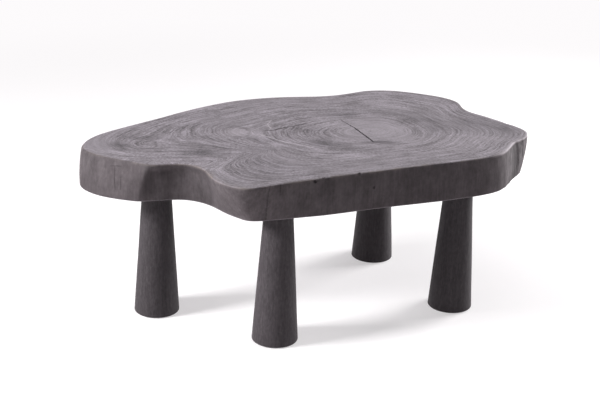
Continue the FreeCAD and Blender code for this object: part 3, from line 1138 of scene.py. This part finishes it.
def seen_rays(tree):
    """1 for light that shows a surface as it is, 0 for light that only bounces off it."""
    rays = add(tree, "ShaderNodeLightPath").outputs
    seen = maths(tree, "MAXIMUM", rays["Is Camera Ray"], rays["Is Glossy Ray"])
    return maths(tree, "MAXIMUM", seen, rays["Is Transmission Ray"])


def build_floor():
    """White paper floor that keeps its shadows; other light meets it as pale grey."""
    half = FLOOR_SIZE / 2
    plan = [(-half, -half), (half, -half), (half, half), (-half, half)]
    floor = new_piece("floor", [(x, y, -FLOOR_DROP) for x, y in plan], [(0, 1, 2, 3)])
    material, tree, shader = blank_material("pale_floor")
    seen = seen_rays(tree)
    place = add(tree, "ShaderNodeTexCoord").outputs["Object"]
    away = add(tree, "ShaderNodeVectorMath", {0: place}, operation="LENGTH").outputs["Value"]
    span = {"Value": away, "From Min": BACKDROP_START, "From Max": BACKDROP_FULL}
    backdrop = add(tree, "ShaderNodeMapRange", span, interpolation_type="SMOOTHSTEP").outputs["Result"]
    shown = mixed(tree, backdrop, FLOOR_COLOUR, (0, 0, 0, 1))
    tree.links.new(mixed(tree, seen, FLOOR_BOUNCE_COLOUR, shown), shader.inputs["Base Color"])
    whiteness = maths(tree, "MULTIPLY_ADD", backdrop, BACKDROP_WHITENESS - FLOOR_WHITENESS, FLOOR_WHITENESS)
    tree.links.new(maths(tree, "MULTIPLY", seen, whiteness), shader.inputs["Emission Strength"])
    shader.inputs["Emission Color"].default_value = FLOOR_WHITE
    shader.inputs["Roughness"].default_value = FLOOR_ROUGHNESS
    shader.inputs["Specular IOR Level"].default_value = 0.0
    floor.data.materials.append(material)


def build_world():
    """White surroundings, dimmer as light than as seen."""
    world = bpy.data.worlds.new("studio")
    bpy.context.scene.world = world
    world.use_nodes = True
    tree = world.node_tree
    background = tree.nodes["Background"]
    background.inputs["Color"].default_value = WORLD_COLOUR
    strength = maths(tree, "MULTIPLY_ADD", seen_rays(tree), 1 - WORLD_FILL, WORLD_FILL)
    tree.links.new(strength, background.inputs["Strength"])


def build_softbox(name, box):
    lamp = bpy.data.lights.new(name, "AREA")
    lamp.shape = "RECTANGLE"
    lamp.size = box["width"]
    lamp.size_y = box["height"]
    lamp.energy = box["watts"]
    light = bpy.data.objects.new(name, lamp)
    place = Vector(box["place"])
    light.location = place
    light.rotation_euler = (LIGHT_TARGET - place).to_track_quat("-Z", "Y").to_euler()
    bpy.context.scene.collection.objects.link(light)


def build_camera():
    data = bpy.data.cameras.new("camera")
    data.sensor_width = SENSOR_WIDTH_MM
    data.lens = FOCAL_LENGTH_PX / IMAGE_WIDTH_PX * SENSOR_WIDTH_MM
    camera = bpy.data.objects.new("camera", data)
    forward = Vector((0, math.cos(CAMERA_PITCH), -math.sin(CAMERA_PITCH)))
    level_right = Vector((1, 0, 0))
    level_up = level_right.cross(forward)
    right = math.cos(CAMERA_ROLL) * level_right + math.sin(CAMERA_ROLL) * level_up
    up = math.cos(CAMERA_ROLL) * level_up - math.sin(CAMERA_ROLL) * level_right
    turn = Matrix((right, up, -forward)).transposed().to_4x4()
    camera.matrix_world = Matrix.Translation(CAMERA_PLACE) @ turn
    bpy.context.scene.collection.objects.link(camera)
    bpy.context.scene.camera = camera


def build_studio():
    build_floor()
    build_world()
    build_softbox("left_softbox", LEFT_BOX)
    build_softbox("right_softbox", RIGHT_BOX)
    build_softbox("overhead_softbox", OVERHEAD_BOX)
    build_camera()
    bpy.context.scene.view_settings.view_transform = "Standard"


build_slab()
black_wood = leg_wood()
pad_felt = felt()
brass = metal("insert_brass", **BRASS)
zinc = metal("bolt_steel", **ZINC)
for number, side in enumerate(LEGS):
    build_leg(side, LEG_SEED_STEP * number, black_wood)
    build_pad(side, PAD_SEED + LEG_SEED_STEP * number, pad_felt)
    refinish(side + "_insert", brass)
    refinish(side + "_bolt", zinc)
build_studio()
